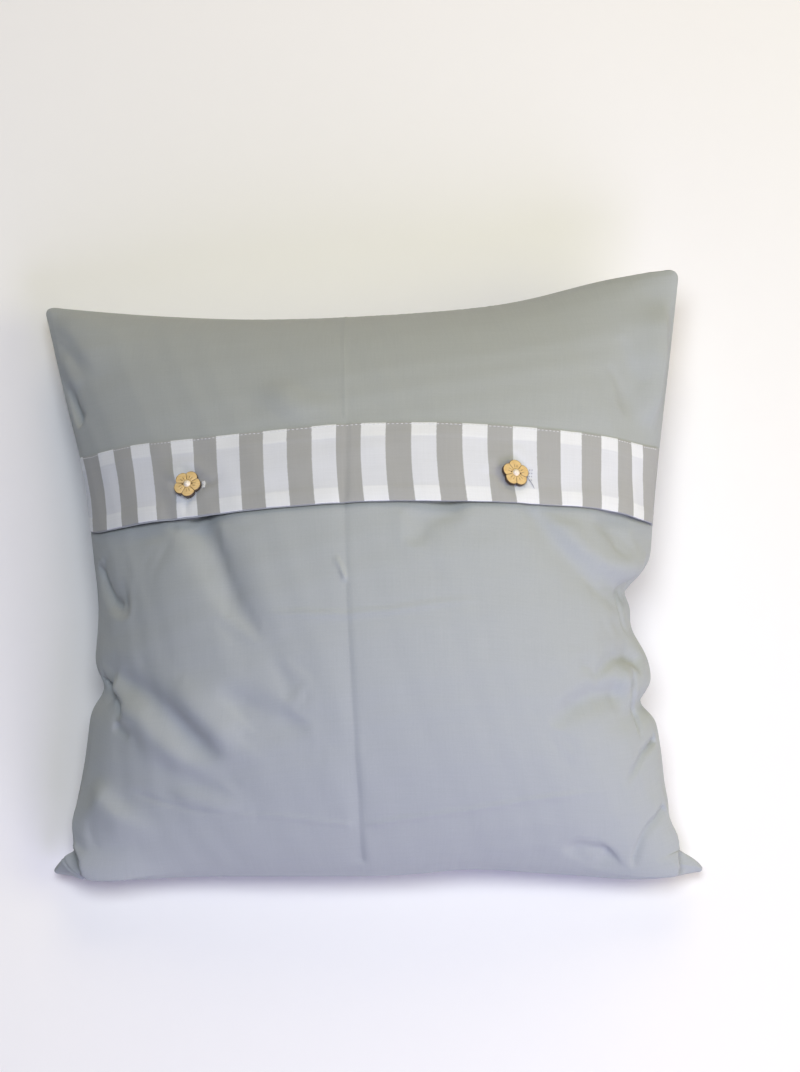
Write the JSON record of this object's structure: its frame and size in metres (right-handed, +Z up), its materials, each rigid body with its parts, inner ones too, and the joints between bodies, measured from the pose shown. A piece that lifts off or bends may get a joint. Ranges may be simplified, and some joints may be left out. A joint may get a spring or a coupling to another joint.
{
  "type": "filled cushion cover with a buttoned flap",
  "caption": "Plump square cotton cushion cover with a flap, a striped band and flower buttons, lying on its back.",
  "frame": {"origin": "middle of the bounding box on the floor under the cushion", "axes": "+Z up off the floor, out of the cushion's front; +Y towards its top edge; +X to the right as the front is seen"},
  "size_m": [0.406, 0.3744, 0.1346],
  "materials": {
    "plain_cloth": "plain woven grey cotton, matt",
    "striped_cloth": "woven cotton in even grey and white stripes, matt",
    "button_wood": "laser-cut light wood with darkened edges, satin",
    "pearl": "cream pearl, glossy"
  },
  "bodies": {
    "root": {"cover_body": "plain_cloth", "upper_flap": "plain_cloth", "striped_band": "striped_cloth", "button_left": "button_wood", "button_right": "button_wood", "pearl_left": "pearl", "pearl_right": "pearl"}
  },
  "joints": []
}
